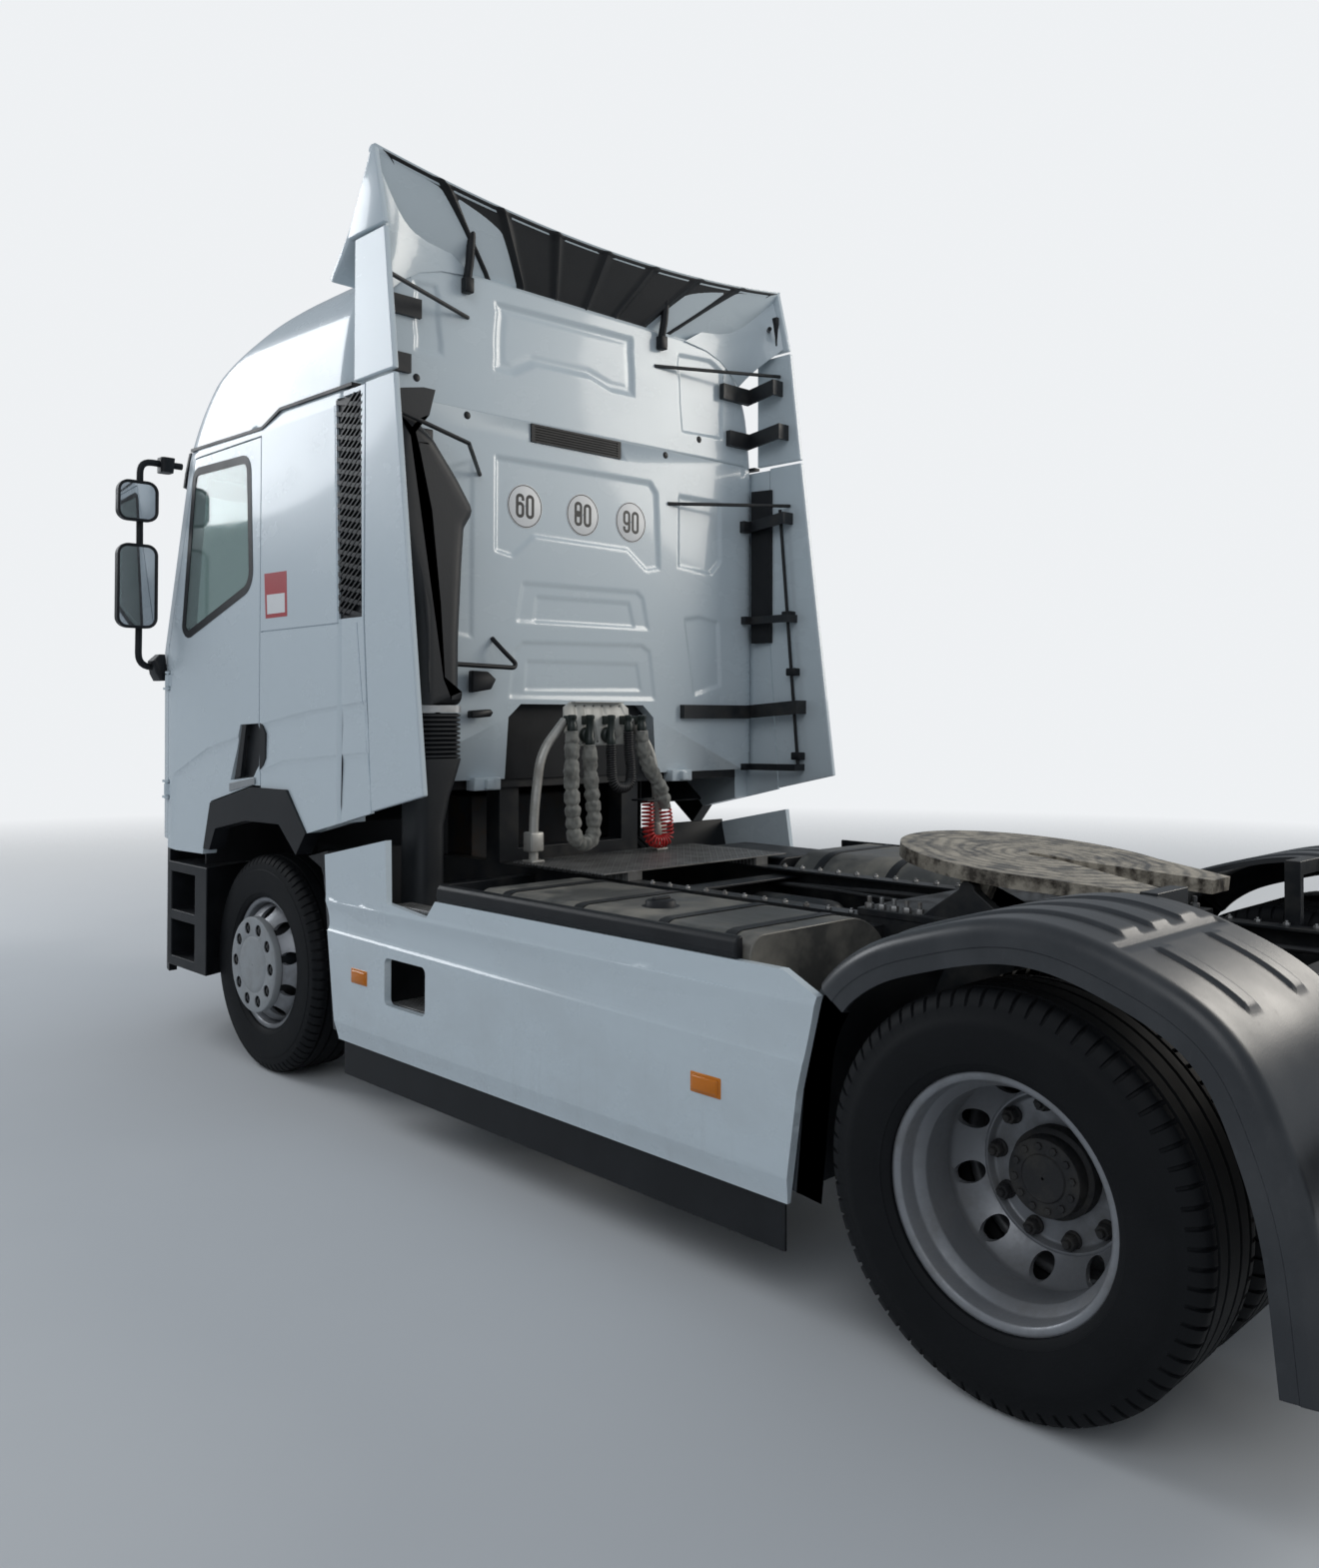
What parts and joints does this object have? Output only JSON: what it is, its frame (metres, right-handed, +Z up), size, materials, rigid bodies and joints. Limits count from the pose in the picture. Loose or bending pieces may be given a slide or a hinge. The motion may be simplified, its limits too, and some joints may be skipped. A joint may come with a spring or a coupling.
{
  "type": "semi truck tractor unit",
  "caption": "Two-axle semi truck tractor unit with a high-roof sleeper cab, roof and side air deflectors, side skirts, twin rear wheels and a fifth wheel.",
  "frame": {"origin": "centre of the bounding box on the ground under the tyres", "axes": "+X to the vehicle's left, +Y to its rear, +Z up"},
  "size_m": [2.96, 5.985, 3.908],
  "materials": {
    "white_paint": "gloss",
    "black_plastic": "satin",
    "frame_paint": "satin",
    "cast_grey": "rough",
    "tyre_rubber": "matte",
    "rim_silver": "satin",
    "aluminium": "satin",
    "clear_glass": "clear",
    "lamp_glass": "clear",
    "trim_fabric": "woven",
    "dash_plastic": "grained",
    "greased_steel": "greasy",
    "black_hose": "satin",
    "red_hose": "gloss",
    "grey_sleeve": "woven"
  },
  "bodies": {
    "chassis": {"frame_rails": "frame_paint", "frame_brackets": "frame_paint", "engine_block": "cast_grey", "propshaft": "frame_paint", "front_axle_beam": "cast_grey", "suspension": "cast_grey", "rear_axle": "cast_grey", "fuel_tanks": "aluminium", "side_boxes": "black_plastic", "side_skirts": "white_paint", "step_boxes": "black_plastic", "mudguards": "black_plastic", "deck_plate": "aluminium", "fifth_wheel_base": "frame_paint", "rear_lamp_bar": "frame_paint", "front_bumper": "black_plastic", "lamps": "lamp_glass", "hose_stand": "aluminium", "intake_duct": "black_plastic", "grey_sleeve_left": "grey_sleeve", "black_coil": "black_hose", "grey_sleeve_right": "grey_sleeve", "red_coil": "red_hose"},
    "fifth_wheel": {"fifth_wheel_plate": "greased_steel"},
    "cab": {"cab_floor": "frame_paint", "cab_back_wall": "white_paint", "cab_side_left": "white_paint", "cab_side_right": "white_paint", "cab_front": "white_paint", "cab_roof": "white_paint", "windscreen": "clear_glass", "cab_trims": "black_plastic", "roof_deflector": "white_paint", "side_fairings": "white_paint", "fairing_brackets": "frame_paint", "air_intake": "black_plastic", "mirrors": "black_plastic", "dashboard": "dash_plastic", "seats": "trim_fabric", "bunk": "trim_fabric"},
    "door_left": {"door_left": "white_paint", "door_handle_left": "black_plastic", "door_glass_left": "clear_glass"},
    "door_right": {"door_right": "white_paint", "door_handle_right": "black_plastic", "door_glass_right": "clear_glass"},
    "knuckle_left": {"steering_knuckle_left": "cast_grey"},
    "knuckle_right": {"steering_knuckle_right": "cast_grey"},
    "front_wheel_left": {"front_tyre_left": "tyre_rubber", "front_rim_left": "rim_silver"},
    "front_wheel_right": {"front_tyre_right": "tyre_rubber", "front_rim_right": "rim_silver"},
    "rear_wheel_left": {"rear_tyres_left": "tyre_rubber", "rear_rims_left": "rim_silver"},
    "rear_wheel_right": {"rear_tyres_right": "tyre_rubber", "rear_rims_right": "rim_silver"}
  },
  "joints": [
    {"name": "cab_tilt", "type": "hinge", "parent": "chassis", "child": "cab", "pos_m": [0, -2.8675, 0.88], "axis": [1, 0, 0], "range_deg": [0, 60]},
    {"name": "door_left_hinge", "type": "hinge", "parent": "cab", "child": "door_left", "pos_m": [1.245, -2.5045, 1.5], "axis": [0, 0, -1], "range_deg": [0, 75]},
    {"name": "door_right_hinge", "type": "hinge", "parent": "cab", "child": "door_right", "pos_m": [-1.245, -2.5045, 1.5], "axis": [0, 0, 1], "range_deg": [0, 75]},
    {"name": "steer_left", "type": "hinge", "parent": "chassis", "child": "knuckle_left", "pos_m": [0.905, -1.6075, 0.492], "axis": [0, 0, 1], "range_deg": [-40, 40]},
    {"name": "steer_right", "type": "hinge", "parent": "chassis", "child": "knuckle_right", "pos_m": [-0.905, -1.6075, 0.492], "axis": [0, 0, 1], "range_deg": [-40, 40]},
    {"name": "front_left_spin", "type": "hinge", "parent": "knuckle_left", "child": "front_wheel_left", "pos_m": [1.02, -1.6075, 0.492], "axis": [1, 0, 0], "continuous": true},
    {"name": "front_right_spin", "type": "hinge", "parent": "knuckle_right", "child": "front_wheel_right", "pos_m": [-1.02, -1.6075, 0.492], "axis": [1, 0, 0], "continuous": true},
    {"name": "rear_left_spin", "type": "hinge", "parent": "chassis", "child": "rear_wheel_left", "pos_m": [0.923, 2.1925, 0.492], "axis": [1, 0, 0], "continuous": true},
    {"name": "rear_right_spin", "type": "hinge", "parent": "chassis", "child": "rear_wheel_right", "pos_m": [-0.923, 2.1925, 0.492], "axis": [1, 0, 0], "continuous": true},
    {"name": "fifth_wheel_tilt", "type": "hinge", "parent": "chassis", "child": "fifth_wheel", "pos_m": [0, 1.6125, 1.085], "axis": [1, 0, 0], "range_deg": [0, 15]}
  ],
  "couplings": [
    {"joint": "steer_right", "follows": "steer_left", "ratio": 1}
  ]
}
